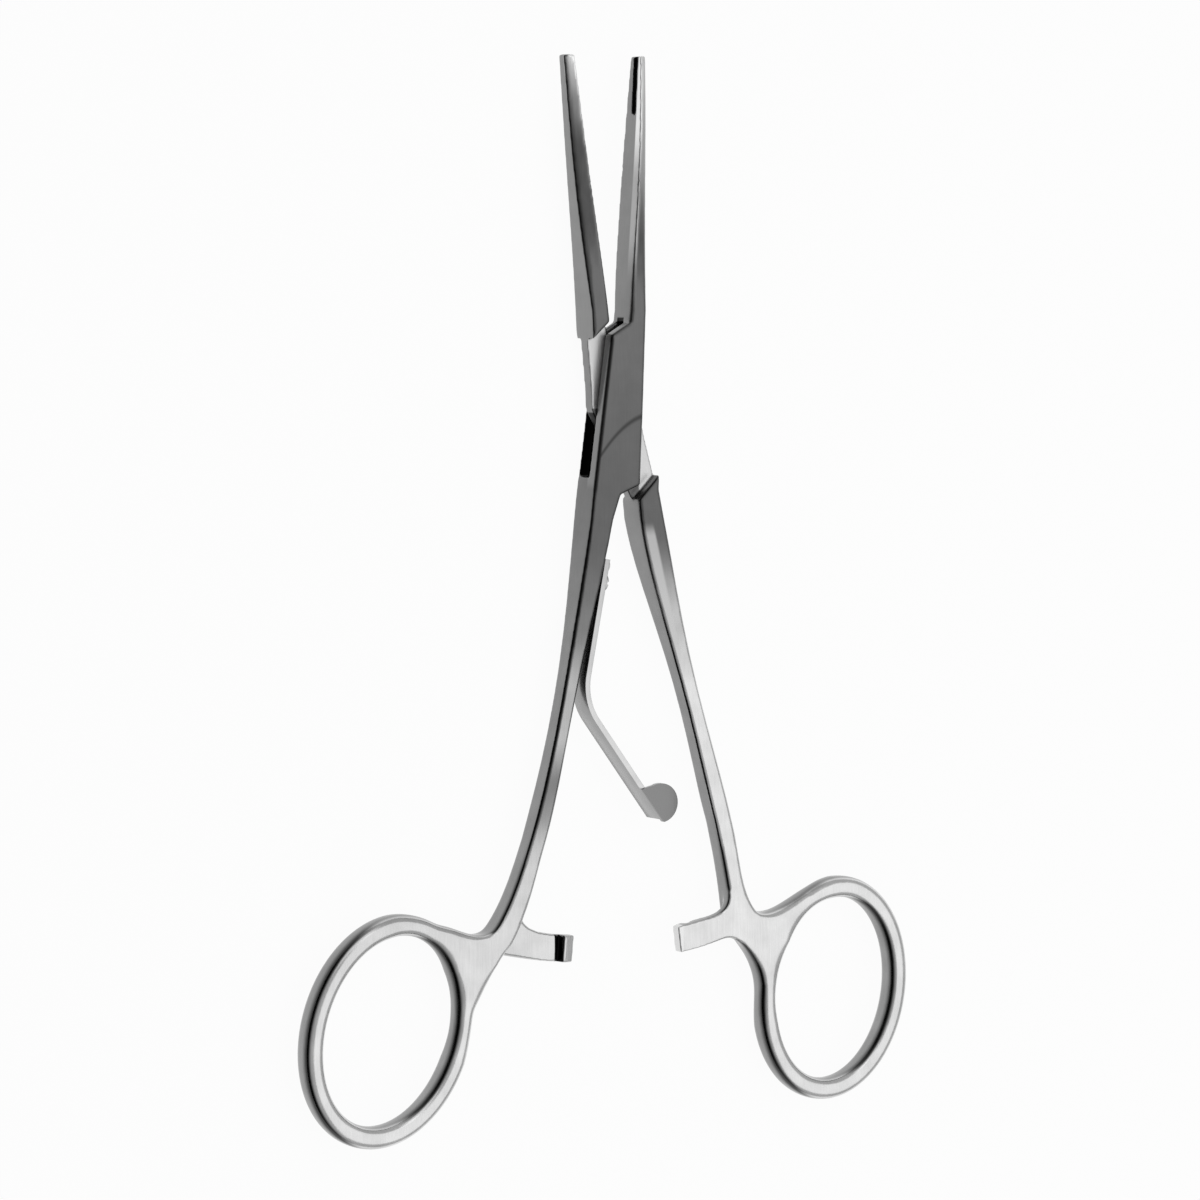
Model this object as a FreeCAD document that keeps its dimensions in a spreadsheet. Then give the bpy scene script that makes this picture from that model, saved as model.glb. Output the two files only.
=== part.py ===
"""Clip applier with ring handles, a box lock, a return leaf spring and a one-tooth ratchet.

Frame: +Y runs to the jaw tips, +X to the right of the face that is looked at, +Z out of that face.
The origin lies on the pivot axis, on the under side of the box lock. Lengths are millimetres.
The instrument is drawn open. The male arm turns about Z to close it.
"""
import FreeCAD
import Part
import Sketcher
import math
import os
import re

# Driving dimensions: millimetres and degrees. Widths run across, along X; places run along Y.
SIZES = {
    # Box lock, seen from the front
    "box_thick": 5.6,  # thickness of the box lock
    "front_plate": 2.15,  # wall in front of the slot
    "slot_gap": 2.05,  # height of the slot through the female arm
    "slot_play": 0.05,  # play of the tongue on each side
    "box_bevel": 0.4,  # bevel along the edges of the box
    "crease_wide": 0.28,  # width of the crease across the box
    "crease_deep": 0.1,  # depth of the crease across the box
    "crease_over": 0.12,  # how far the crease starts past the right edge
    "crease_drop": 0.2,  # start of the crease, below the pivot
    "crease_near_x": 2.3,  # first bend of the crease from its start, across
    "crease_near_y": 1.35,  # first bend of the crease from its start, down
    "crease_far_x": 4.6,  # second bend of the crease from its start, across
    "crease_far_y": 3.4,  # second bend of the crease from its start, down
    "crease_end_x": 6.3,  # end of the crease from its start, across
    "crease_end_y": 6.1,  # end of the crease from its start, down
    "lead_deep": 1.2,  # slope of the back plate's edge beside the slot, front to back
    "lead_wide": 1.3,  # slope of the back plate's edge beside the slot, across
    "pin_wide": 3.2,  # diameter of the rivet
    "pin_press": 0.01,  # radial clearance of the rivet in the plates
    "pin_play": 0.05,  # radial clearance of the rivet in the tongue
    "root_high": 14.5,  # where the jaws start, above the pivot
    "root_low": 17.6,  # where the shanks start, below the pivot
    # Female box: its outline crosses from the right jaw to the left shank
    "female_right": 3.55,  # right edge beside the pivot
    "female_toe_x": 2.85,  # lower right corner, across
    "female_toe_y": 12.35,  # lower right corner, below the pivot
    "female_crotch_x": -0.7,  # crotch beside the left shank, across
    "female_crotch_y": 13.75,  # crotch, below the pivot
    "female_heel_x": -5.9,  # left edge above the shank, across
    "female_heel_y": 14.35,  # left edge above the shank, below the pivot
    "female_brow_x": -2.2,  # top left corner of the plates, across
    "female_brow_y": 10.8,  # top left corner of the plates, above the pivot
    "female_notch_x": 1.25,  # notch under the right jaw, across
    "female_notch_y": 12.75,  # notch under the right jaw, above the pivot
    "slot_end": 10.94,  # end of the slot, from the pivot
    "slot_heel_x": 4.5,  # where the slot's lower end starts to slope, left of the pivot
    "slot_toe_x": 0.6,  # where that slope ends, right of the pivot
    "slot_toe_drop": 4.8,  # height of that slope
    "slot_brow_x": 3.2,  # where the slot's upper end starts to slope, right of the pivot
    "slot_notch_x": 0.9,  # where that slope ends, right of the pivot
    "slot_notch_rise": 2.3,  # height of that slope
    # Male tongue and shoulders: they cross from the left jaw to the right shank
    "tongue_high_x": -5.4,  # tongue's left edge under the jaw, across
    "tongue_high_y": 10.15,  # tongue's left edge under the jaw, above the pivot
    "tongue_left": -4.6,  # tongue's left edge beside the pivot
    "tongue_right": 4.3,  # tongue's right edge beside the pivot
    "shoulder_x": -2.36,  # upper shoulder's inner corner, across
    "shoulder_y": 12.8,  # upper shoulder's inner corner, above the pivot
    "hip_in_x": 2.6,  # lower shoulder's inner corner, across
    "hip_in_y": 14.6,  # lower shoulder's inner corner, below the pivot
    "hip_out_x": 6.4,  # lower shoulder's outer corner, across
    "hip_out_y": 10.8,  # lower shoulder's outer corner, below the pivot
    # Tongue's corners, seen from the ones above
    "tongue_bow_out": 0.25,  # bow of the left edge, out from the edge beside the pivot
    "tongue_bow_share": 0.4,  # height of that bow, as a share of the upper corner's height
    "tongue_waist": 0.6,  # lower end of the bow, below the pivot
    "tongue_foot_in": 0.2,  # lower corner, left of the lower shoulder's inner corner
    "tongue_foot_up": 0.1,  # how far the foot stays above that shoulder
    "tongue_foot_wide": 1.8,  # foot, right of the lower shoulder's inner corner
    "hip_curve_in": 0.05,  # first bend at the outer corner, in from it
    "hip_curve_drop": 0.5,  # first bend at the outer corner, below it
    "hip_side_in": 0.1,  # side under and over the outer corner, in from it
    "hip_side_rise": 0.6,  # second bend at the outer corner, above it
    "hip_side_drop": 2.4,  # lower end of the side, below the outer corner
    "tongue_flank_in": 0.35,  # middle of the right flank, in from the straight line
    "tongue_flank_top": 2.4,  # upper end of the right flank, below the pivot
    "tongue_head_in": 0.1,  # top corner, left of the upper shoulder's inner corner
    "tongue_head_rise": 0.5,  # top corner, above the upper shoulder's inner corner
    "tongue_head_wide": 1.6,  # second top corner, left of the upper shoulder's inner corner
    "tongue_head_drop": 0.4,  # second top corner, below the upper shoulder's inner corner
    # Jaw stations, from the root to the tip
    "jaw_low": 26,  # second station above the pivot
    "jaw_mid": 38,  # third station above the pivot
    "jaw_high": 47,  # fourth station above the pivot
    "jaw_tip": 53.5,  # tips above the pivot
    "face_thick_low": 5.55,  # thickness of the gripping face, second station
    "face_thick_mid": 5.15,  # thickness of the gripping face, third station
    "face_thick_high": 4.15,  # thickness of the gripping face, fourth station
    "face_thick_tip": 3.0,  # thickness of the gripping face, tip
    "back_thick_low": 4.05,  # thickness of the jaw's back, second station
    "back_thick_mid": 3.02,  # thickness of the jaw's back, third station
    "back_thick_high": 2.6,  # thickness of the jaw's back, fourth station
    "back_thick_tip": 2.3,  # thickness of the jaw's back, tip
    "male_back_root": -5.6,  # left jaw's back, root
    "male_back_low": -6.82,  # left jaw's back, second station
    "male_back_mid": -7.97,  # left jaw's back, third station
    "male_back_high": -8.67,  # left jaw's back, fourth station
    "male_back_tip": -9.15,  # left jaw's back, tip
    "male_face_root": -2.55,  # left jaw's face, root
    "male_face_low": -4.33,  # left jaw's face, second station
    "male_face_mid": -6.02,  # left jaw's face, third station
    "male_face_high": -6.97,  # left jaw's face, fourth station
    "male_face_tip": -7.52,  # left jaw's face, tip
    "female_face_root": 1.5,  # right jaw's face, root
    "female_face_low": 2.3,  # right jaw's face, second station
    "female_face_mid": 3.3,  # right jaw's face, third station
    "female_face_high": 3.92,  # right jaw's face, fourth station
    "female_face_tip": 4.33,  # right jaw's face, tip
    "female_back_root": 4.25,  # right jaw's back, root
    "female_back_low": 4.85,  # right jaw's back, second station
    "female_back_mid": 5.38,  # right jaw's back, third station
    "female_back_high": 5.65,  # right jaw's back, fourth station
    "female_back_tip": 5.72,  # right jaw's back, tip
    "groove_start": 44.5,  # where the clip groove runs out, above the pivot
    "groove_wide": 1.05,  # width of the clip groove
    "groove_deep": 0.55,  # depth of the clip groove
    "left_groove_ease": 0.26,  # how much shallower the left jaw's groove is where it runs out
    "right_groove_ease": 0.17,  # how much shallower the right jaw's groove is where it runs out
    "jaw_back_bevel": 0.55,  # bevel along the jaws' backs
    "jaw_face_bevel": 0.14,  # bevel along the jaws' gripping faces
    # Shank stations, from the box to the rings
    "shank_upper": 30,  # second station below the pivot
    "shank_middle": 42,  # third station below the pivot
    "shank_lower": 54,  # fourth station below the pivot
    "shank_end": 66,  # fifth station below the pivot
    "shank_thick_upper": 4.3,  # thickness, second station
    "shank_thick_middle": 3.35,  # thickness, third station
    "shank_thick_lower": 3.4,  # thickness, fourth station
    "shank_thick_end": 3.5,  # thickness, fifth station
    "shank_bevel": 0.5,  # bevel along the shanks
    # Shanks: centre across and width at each station
    "left_root_x": -4.2,
    "left_root_wide": 4.2,
    "left_upper_x": -6.55,
    "left_upper_wide": 3.4,
    "left_middle_x": -9.15,
    "left_middle_wide": 2.7,
    "left_lower_x": -12.025,
    "left_lower_wide": 2.65,
    "left_end_x": -15.55,
    "left_end_wide": 3.1,
    "right_root_x": 5.025,
    "right_root_wide": 4.35,
    "right_upper_x": 8.175,
    "right_upper_wide": 4.05,
    "right_middle_x": 11.75,
    "right_middle_wide": 3.1,
    "right_lower_x": 15.2,
    "right_lower_wide": 3.1,
    "right_end_x": 18.5,
    "right_end_wide": 3.4,
    # Flares: share of the way from the shank's end to the ring, the same for both sides
    "neck_share": 0.28,
    "bend_share": 0.49,
    "crook_share": 0.71,
    "spread_share": 0.82,
    "join_share": 0.91,
    # Flares: how far each section stands off that straight way, its width and its turn
    "left_neck_off": 1.9,
    "left_neck_drop": -0.87,
    "left_neck_wide": 3.4,
    "left_neck_turn": -4,
    "left_bend_off": 3.02,
    "left_bend_drop": -1.47,
    "left_bend_wide": 3.75,
    "left_bend_turn": -14,
    "left_crook_off": 3.78,
    "left_crook_drop": -1.37,
    "left_crook_wide": 4.16,
    "left_crook_turn": -38.7,
    "left_spread_off": 2.55,
    "left_spread_drop": -0.88,
    "left_spread_wide": 6.4,
    "left_spread_turn": -51.3,
    "left_join_off": 1.23,
    "left_join_drop": -0.11,
    "left_join_wide": 11.2,
    "left_join_turn": -60,
    "left_foot_across": 0.9063,  # end of the flare from the ring's centre, as a share of the short half
    "left_foot_along": 0.5159,  # end of the flare from the ring's centre, as a share of the long half
    "left_foot_wide": 14.9,
    "left_foot_turn": -63.9,
    "right_neck_off": -2.02,
    "right_neck_drop": -0.6,
    "right_neck_wide": 3.3,
    "right_neck_turn": 2,
    "right_bend_off": -3.53,
    "right_bend_drop": -1.3,
    "right_bend_wide": 3.5,
    "right_bend_turn": 6,
    "right_crook_off": -4.91,
    "right_crook_drop": -1.1,
    "right_crook_wide": 4.9,
    "right_crook_turn": 17,
    "right_spread_off": -3.85,
    "right_spread_drop": -0.75,
    "right_spread_wide": 6.75,
    "right_spread_turn": 35.3,
    "right_join_off": -1.7,
    "right_join_drop": -0.05,
    "right_join_wide": 11.4,
    "right_join_turn": 49.6,
    "right_foot_across": -0.73,  # end of the flare from the ring's centre, as a share of the short half
    "right_foot_along": 0.5276,  # end of the flare from the ring's centre, as a share of the long half
    "right_foot_wide": 18.2,
    "right_foot_turn": 58.4,
    # Finger rings: ellipses of one forged section
    "ring_short": 12.59,  # half of the ring's short axis, on the section's centre
    "ring_long": 16.32,  # half of the ring's long axis, on the section's centre
    "ring_wide": 3.4,  # width of the ring's section in plan
    "ring_thick": 4.2,  # thickness of the ring's section
    "ring_round": 1.3,  # radius of the ring section's corners
    "left_ring_x": -41.81,  # left ring's centre, across
    "left_ring_y": -93.17,  # left ring's centre, along
    "left_ring_lean": -19.84,  # lean of the left ring's long axis
    "right_ring_x": 39.53,  # right ring's centre, across
    "right_ring_y": -94.27,  # right ring's centre, along
    "right_ring_lean": -9.5,  # lean of the right ring's long axis
    # Ratchet bars: arcs about the pivot, one tooth each
    "bar_drop": 16.1,  # inner radius of the ratchet bars, beyond the shank's end
    "bar_wide": 4.2,  # width of the ratchet bars
    "bar_thick": 1.7,  # thickness of a bar
    "bar_apart": 0.6,  # gap between the two bars, front to back
    "left_bar_tip": 5.8,  # angle of the left bar's tip from the centre line
    "right_bar_tip": 6.5,  # angle of the right bar's tip from the centre line
    "tooth_high": 0.5,  # height of a tooth
    "tooth_long": 1.9,  # length of a tooth's ramp
    "tooth_back": 0.3,  # lean of a tooth's steep face
    "notch_long": 0.8,  # length of the notch behind a tooth
    "notch_deep": 0.5,  # depth of the notch behind a tooth
    # Rounded corners between the bars and the shanks: place, run along the bar, rise along the shank
    "left_corner_in": 1.3,  # corner beside the shank's middle, as an angle
    "left_corner_run": 4.6,  # run along the bar, as an angle
    "left_corner_rise": 3.9,  # rise along the shank
    "left_corner_lean": 0.3,  # lean of its upper end, as an angle
    "right_corner_in": 1.4,  # corner beside the shank's middle, as an angle
    "right_corner_run": 2.4,  # run along the bar, as an angle
    "right_corner_rise": 3.1,  # rise along the shank
    "right_corner_lean": 0.1,  # lean of its upper end, as an angle
    "under_corner_in": 1.0,  # corner under the right bar, as an angle
    "under_corner_run": 1.9,  # run along the bar, as an angle
    "under_corner_drop": 5.9,  # drop along the ring
    "under_corner_lean": 1,  # lean of its lower end, as an angle
    # Return spring: a bent strip with an ear, a screw and a locating pin
    "leaf_thick": 0.85,  # thickness of the strip
    "leaf_wide": 3.9,  # width of the strip
    "leaf_top_x": -2.85,  # upper end of the strip, across
    "leaf_top_y": -23.6,  # upper end of the strip, along
    "leaf_lean": 11.8,  # lean of the seated stretch
    "leaf_knee": 22.1,  # length of the upper stretch up to its corner
    "leaf_kick": 36.2,  # lean of the free stretch, the other way
    "leaf_free": 23.6,  # length of the free stretch from the corner
    "leaf_bend": 8.9,  # radius of the bend
    "ear_back": 2.33,  # centre of the ear, back along the strip from its tip
    "ear_out": 0.93,  # centre of the ear, out from the strip's middle
    "fold_long": 3.9,  # length of the fold between strip and ear, from the ear's centre
    "ear_wide": 6.1,  # diameter of the ear
    "ear_thick": 1.0,  # thickness of the ear
    "ear_sunk": 0.2,  # how deep the ear's fold runs into the strip's edge
    "seat_long": 7.6,  # length of the spring's seat on the shank
    "seat_deep": 1.3,  # depth of the spring's seat
    "seat_wide": 2.6,  # width of the spring's seat
    "seat_above": 0.9,  # how far the seat reaches above the strip
    "screw_along": 3.6,  # screw, from the strip's upper end
    "screw_wide": 1.4,  # diameter of the screw's shank
    "screw_deep": 2.2,  # depth of the screw in the shank
    "screw_head_wide": 3.0,  # diameter of the screw's head
    "screw_head_high": 0.85,  # height of the screw's head
    "screw_slot": 0.4,  # width of the screw's slot
    "screw_head_bevel": 0.25,  # bevel of the screw's head
    "screw_point_bevel": 0.3,  # bevel of the screw's point
    "heads_apart": 0.1,  # gap between the screw's head and the locating pin's head
    "locator_wide": 0.9,  # diameter of the locating pin
    "locator_deep": 1.4,  # depth of the locating pin in the shank
    "locator_head_wide": 2.1,  # diameter of the locating pin's head
    "locator_head_high": 0.8,  # height of the locating pin's head
    "locator_head_bevel": 0.15,  # bevel of the locating pin's head
    "bore_play": 0.03,  # radial clearance of the small bores
}

SHEET = "sizes"
SIDES = ("left", "right")
SHANK_STATIONS = ("root", "upper", "middle", "lower", "end")
CURVE_STEPS = 5
CORNER_SHARE = "0.2929"  # how far the middle of a rounded corner lies in, as a share of its radius
CUT_OUT = "9"  # half of the width of the slot's cut, past both edges of the box
FLARE_STATIONS = ("neck", "bend", "crook", "spread", "join")

# Sizes that follow from others
FOLLOWING = {
    "bar_inner": "shank_end+bar_drop",
    "bar_outer": "shank_end+bar_drop+bar_wide",
    "web_thick": "ring_thick",
    "locator_along": "screw_along-screw_head_wide/2-locator_head_wide/2-heads_apart",
}
for side in SIDES:
    FOLLOWING[side + "_foot_x"] = "%s_ring_x+%s_foot_across*ring_short" % (side, side)
    FOLLOWING[side + "_foot_y"] = "%s_ring_y+%s_foot_along*ring_long" % (side, side)
    for station in FLARE_STATIONS:
        name = side + "_" + station
        share = station + "_share"
        FOLLOWING[name + "_x"] = "%s_end_x*(1-%s)+%s_foot_x*%s+%s_off" % (side, share, side, share, name)
        FOLLOWING[name + "_y"] = "-shank_end*(1-%s)+%s_foot_y*%s+%s_drop" % (share, side, share, name)
FOLLOWING["left_corner"] = "atan(left_bend_x/left_bend_y)/1deg-left_corner_in"
FOLLOWING["right_corner"] = "atan(-right_bend_x/right_bend_y)/1deg-right_corner_in"
FOLLOWING["under_corner"] = "atan(-right_crook_x/right_crook_y)/1deg-under_corner_in"
FOLLOWING["left_bar_span"] = "atan(left_crook_x/left_crook_y)/1deg-left_bar_tip"
FOLLOWING["right_bar_span"] = "atan(-right_crook_x/right_crook_y)/1deg-right_bar_tip"

doc = FreeCAD.newDocument("clip_applier")
sheet = doc.addObject("Spreadsheet::Sheet", SHEET)
cells = {alias: str(number) for alias, number in SIZES.items()}
cells.update({alias: "=" + formula for alias, formula in FOLLOWING.items()})
for row, alias in enumerate(cells, 1):
    sheet.set("A%d" % row, alias.replace("_", " "))
    sheet.setAlias("B%d" % row, alias)
for row, content in enumerate(cells.values(), 1):
    sheet.set("B%d" % row, content)
doc.recompute()

MID = "box_thick/2"
SLOT_MID = "box_thick-front_plate-slot_gap/2"


def bind(text):
    """Writes a formula on the sheet's names as an expression of the document."""
    return re.sub(r"[a-z_]+", lambda word: SHEET + "." + word[0] if word[0] in cells else word[0], text)


def value(text):
    """Works out a formula on the sheet's names."""
    worked_out = sheet.evalExpression(bind(text))
    return float(getattr(worked_out, "Value", worked_out))


def place(across, along, up, turn="0", tip="0"):
    """A placement formula: turned about Z, after the sketch plane is tipped up about X."""
    return bind("placement(vector(%s; %s; %s); rotation(%s; 0; %s))" % (across, along, up, turn, tip))


def outline(body, name, corners, where):
    """A closed sketch of straight lines whose corners are bound to the sheet."""
    sketch = body.newObject("Sketcher::SketchObject", name)
    points = [FreeCAD.Vector(value(across), value(along), 0) for across, along in corners]
    count = len(points)
    for index in range(count):
        sketch.addGeometry(Part.LineSegment(points[index], points[(index + 1) % count]), False)
    for index in range(count):
        sketch.addConstraint(Sketcher.Constraint("Coincident", index, 2, (index + 1) % count, 1))
    for index, corner in enumerate(corners):
        for kind, number, formula in zip(("DistanceX", "DistanceY"), points[index], corner):
            made = sketch.addConstraint(Sketcher.Constraint(kind, -1, 1, index, 1, number))
            sketch.setExpression("Constraints[%d]" % made, bind(formula))
    sketch.setExpression("Placement", where)
    return sketch


def held(sketch, kind, member, formula):
    """A constraint of one line or arc whose size is bound to the sheet."""
    amount = math.radians(value(formula)) if kind == "Angle" else value(formula)
    made = sketch.addConstraint(Sketcher.Constraint(kind, member, amount))
    sketch.setExpression("Constraints[%d]" % made, bind(formula))


def disc(body, name, wide, where):
    """A sketch of one circle whose diameter is bound to the sheet."""
    sketch = body.newObject("Sketcher::SketchObject", name)
    circle = Part.Circle(FreeCAD.Vector(0, 0, 0), FreeCAD.Vector(0, 0, 1), value(wide) / 2)
    sketch.addGeometry(circle, False)
    sketch.addConstraint(Sketcher.Constraint("Coincident", 0, 3, -1, 1))
    made = sketch.addConstraint(Sketcher.Constraint("Diameter", 0, value(wide)))
    sketch.setExpression("Constraints[%d]" % made, bind(wide))
    sketch.setExpression("Placement", where)
    return sketch


def bevelled(left, right, left_thick, right_thick, left_bevel, right_bevel):
    """The eight corners of a forged section: two faces, two sides and a bevel between each."""
    return [
        (left, "-(%s)/2+%s" % (left_thick, left_bevel)),
        ("%s+%s" % (left, left_bevel), "-(%s)/2" % left_thick),
        ("%s-%s" % (right, right_bevel), "-(%s)/2" % right_thick),
        (right, "-(%s)/2+%s" % (right_thick, right_bevel)),
        (right, "(%s)/2-%s" % (right_thick, right_bevel)),
        ("%s-%s" % (right, right_bevel), "(%s)/2" % right_thick),
        ("%s+%s" % (left, left_bevel), "(%s)/2" % left_thick),
        (left, "(%s)/2-%s" % (left_thick, left_bevel)),
    ]


def rounded(wide, thick, radius):
    """The corners of a section whose edges are drawn round in two short straights each."""
    half = "(%s)/2" % wide
    high = "(%s)/2" % thick
    level = "%s*(%s)" % (CORNER_SHARE, radius)
    corners = []
    for right, front, order in ((1, 1, 1), (-1, 1, -1), (-1, -1, 1), (1, -1, -1)):
        spots = [(half, "%s-%s" % (high, radius)), ("%s-%s" % (half, level), "%s-%s" % (high, level)),
                 ("%s-%s" % (half, radius), high)]
        corners += [("%d*(%s)" % (right, x), "%d*(%s)" % (front, y)) for x, y in spots[::order]]
    return corners


def feature(body, kind, name, profile, **settings):
    """A PartDesign feature on a sketch. Numbers given as formulas are bound to the sheet."""
    made = body.newObject("PartDesign::" + kind, name)
    made.Profile = profile
    for key, setting in settings.items():
        if isinstance(setting, str) and key in ("Length", "Angle"):
            made.setExpression(key, bind(setting))
        else:
            setattr(made, key, setting)
    doc.recompute()
    return made


def plate(body, kind, name, corners, thick, middle):
    """A pad or pocket of an outline, as thick on each side of a level."""
    sketch = outline(body, name + "_outline", corners, place("0", "0", middle))
    return feature(body, kind, name, sketch, Length=thick, Midplane=True)


def lofted(body, name, sections):
    """A smooth loft through sketches."""
    loft = body.newObject("PartDesign::AdditiveLoft", name)
    loft.Profile = sections[0]
    loft.Sections = sections[1:]
    doc.recompute()
    return loft


def bevel_rims(body, name, base, bevel, skipped):
    """Bevels the front and back rims of a plate, but for the rims on the skipped levels along Y."""
    thick = value("box_thick")
    names = []
    for number, edge in enumerate(base.Shape.Edges, 1):
        ends = [vertex.Point for vertex in edge.Vertexes]
        rim = all(min(abs(end.z), abs(end.z - thick)) < 1e-4 for end in ends)
        along = len(ends) == 2 and abs(ends[0].z - ends[1].z) < 1e-4
        joint = any(all(abs(end.y - level) < 1e-4 for end in ends) for level in skipped)
        if rim and along and not joint:
            names.append("Edge%d" % number)
    made = body.newObject("PartDesign::Chamfer", name)
    made.Base = (base, names)
    made.setExpression("Size", bind(bevel))
    doc.recompute()
    return made


def jaw(body, name, lefts, rights, face_is_right):
    """A jaw lofted from the root to the tip, thicker at its gripping face than at its back."""
    faces = ["box_thick", "face_thick_low", "face_thick_mid", "face_thick_high", "face_thick_tip"]
    backs = ["box_thick", "back_thick_low", "back_thick_mid", "back_thick_high", "back_thick_tip"]
    levels = ["root_high", "jaw_low", "jaw_mid", "jaw_high", "jaw_tip"]
    sections = []
    for left, right, face, back, level in zip(lefts, rights, faces, backs, levels):
        rooted = level == "root_high"
        back = (back, "box_bevel" if rooted else "jaw_back_bevel")
        face = (face, "box_bevel" if rooted else "jaw_face_bevel")
        first, second = (back, face) if face_is_right else (face, back)
        corners = bevelled(left, right, first[0], second[0], first[1], second[1])
        where = place("0", level, MID, "0", "90")
        sections.append(outline(body, "%s_at_%s" % (name, level), corners, where))
    return lofted(body, name, sections)


def shank(body, side):
    """A shank lofted from the box down, and a flare turned out of it into the ring."""
    sections = []
    for station in SHANK_STATIONS:
        rooted = station == "root"
        thick = "box_thick" if rooted else "shank_thick_" + station
        bevel = "box_bevel" if rooted else "shank_bevel"
        level = "root_low" if rooted else "shank_" + station
        middle = "%s_%s_x" % (side, station)
        half = "%s_%s_wide/2" % (side, station)
        corners = bevelled(middle + "-" + half, middle + "+" + half, thick, thick, bevel, bevel)
        where = place("0", "-" + level, MID, "0", "90")
        sections.append(outline(body, "%s_shank_%s" % (side, station), corners, where))
    for count, station in enumerate(FLARE_STATIONS + ("foot",), 1):
        name = side + "_" + station
        thick = "shank_thick_end+(web_thick-shank_thick_end)*min(1; %d/3)" % count
        half = name + "_wide/2"
        corners = bevelled("-" + half, half, thick, thick, "shank_bevel", "shank_bevel")
        where = place(name + "_x", name + "_y", MID, name + "_turn", "90")
        sections.append(outline(body, name + "_section", corners, where))
    lofted(body, side + "_shank", sections[:5])
    lofted(body, side + "_neck", sections[4:8])
    return lofted(body, side + "_flare", sections[7:])


def ring(body, name, across, along, lean):
    """A finger ring: the forged section carried round an ellipse."""
    spine = body.newObject("Sketcher::SketchObject", name + "_spine")
    top = FreeCAD.Vector(0, value("ring_long"), 0)
    side = FreeCAD.Vector(-value("ring_short"), 0, 0)
    spine.addGeometry(Part.Ellipse(top, side, FreeCAD.Vector(0, 0, 0)), False)
    spine.exposeInternalGeometry(0)
    spine.addConstraint(Sketcher.Constraint("Coincident", 0, 3, -1, 1))
    spine.addConstraint(Sketcher.Constraint("Vertical", 1))
    for line, half in ((1, "ring_long"), (2, "ring_short")):
        made = spine.addConstraint(Sketcher.Constraint("Distance", line, 2 * value(half)))
        spine.setExpression("Constraints[%d]" % made, bind("2*" + half))
    spine.setExpression("Placement", place(across, along, MID, lean))
    start_across = "%s+ring_short*cos(%s)" % (across, lean)
    start_along = "%s+ring_short*sin(%s)" % (along, lean)
    where = place(start_across, start_along, MID, lean, "90")
    section = outline(body, name + "_section", rounded("ring_wide", "ring_thick", "ring_round"), where)
    return feature(body, "AdditivePipe", name, section, Spine=(spine, ["Edge1"]))


def ratchet_bar(body, name, start, span, low, high):
    """An arc about the pivot with a rectangular section, from a start angle over a span."""
    corners = [("bar_inner", low), ("bar_outer", low), ("bar_outer", high), ("bar_inner", high)]
    sketch = outline(body, name + "_section", corners, place("0", "0", MID, start, "90"))
    axis = next(item for item in body.Origin.OriginFeatures if item.Role == "Z_Axis")
    return feature(body, "Revolution", name, sketch, ReferenceAxis=(axis, [""]), Angle=span)


def tooth(body, name, angle, ramp, sunk, face, crest):
    """A ratchet tooth across a bar: a ramp from the bar's tip and a steep face behind it."""
    middle = "(bar_inner+bar_outer)/2"
    where = place("%s*cos(%s)" % (middle, angle), "%s*sin(%s)" % (middle, angle), MID, angle + "+90", "90")
    corners = [("0", sunk), ("0", face), ("%s*tooth_long" % ramp, crest)]
    corners += [("%s*(tooth_long+tooth_back)" % ramp, face), ("%s*(tooth_long+tooth_back)" % ramp, sunk)]
    sketch = outline(body, name + "_outline", corners, where)
    return feature(body, "Pad", name, sketch, Length="bar_outer-bar_inner", Midplane=True)


def notch(body, name, angle, ramp, face, floor):
    """A notch across a bar, behind its tooth's steep face."""
    middle = "(bar_inner+bar_outer)/2"
    where = place("%s*cos(%s)" % (middle, angle), "%s*sin(%s)" % (middle, angle), MID, angle + "+90", "90")
    start = "%s*(tooth_long+tooth_back)" % ramp
    end = "%s*(tooth_long+tooth_back+notch_long)" % ramp
    corners = [(start, face), (end, face), (end, floor), (start, floor)]
    sketch = outline(body, name + "_outline", corners, where)
    return feature(body, "Pocket", name, sketch, Length="2*bar_wide", Midplane=True)


def bar_corner(body, name, edge, turn, run, rise, lean, inside, thick, middle):
    """Fills the corner between a bar's edge and its shank up to a curve, in angles and radii about the pivot."""
    spots = []
    for step in range(CURVE_STEPS + 1):
        gone = step / CURVE_STEPS
        left = 1 - gone
        spots.append(("%s+(%s)*%s+(%s)*%s" % (turn, lean, left * left, run, gone * gone),
                      "%s+(%s)*%s" % (edge, rise, left * left)))
    spots.append(("%s+(%s)" % (turn, run), "%s+(%s)" % (edge, inside)))
    spots.append(("%s-(%s)/3" % (turn, run), "%s+(%s)" % (edge, inside)))
    spots.append(("%s-(%s)/3+(%s)" % (turn, run, lean), "%s+(%s)" % (edge, rise)))
    corners = [("(%s)*cos(%s)" % (radius, angle), "(%s)*sin(%s)" % (radius, angle)) for angle, radius in spots]
    return plate(body, "Pad", name, corners, thick, middle)


def turned(body, kind, name, corners, along):
    """A turned form or bore square to the strip, where the strip's seated side is zero."""
    across = "leaf_top_x-sin(leaf_lean)*%s-cos(leaf_lean)*leaf_thick/2" % along
    down = "leaf_top_y-cos(leaf_lean)*%s+sin(leaf_lean)*leaf_thick/2" % along
    sketch = outline(body, name + "_profile", corners, place(across, down, MID, "-leaf_lean"))
    return feature(body, kind, name, sketch, ReferenceAxis=(sketch, ["H_Axis"]), Angle="360")


def bored(body, name, wide, start, end, along):
    """A round bore square to the strip."""
    half = "%s/2+bore_play" % wide
    return turned(body, "Groove", name, [(start, "0"), (end, "0"), (end, half), (start, half)], along)


def new_body(label):
    """A body whose label names its file."""
    body = doc.addObject("PartDesign::Body", label)
    body.Label = label
    return body


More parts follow.
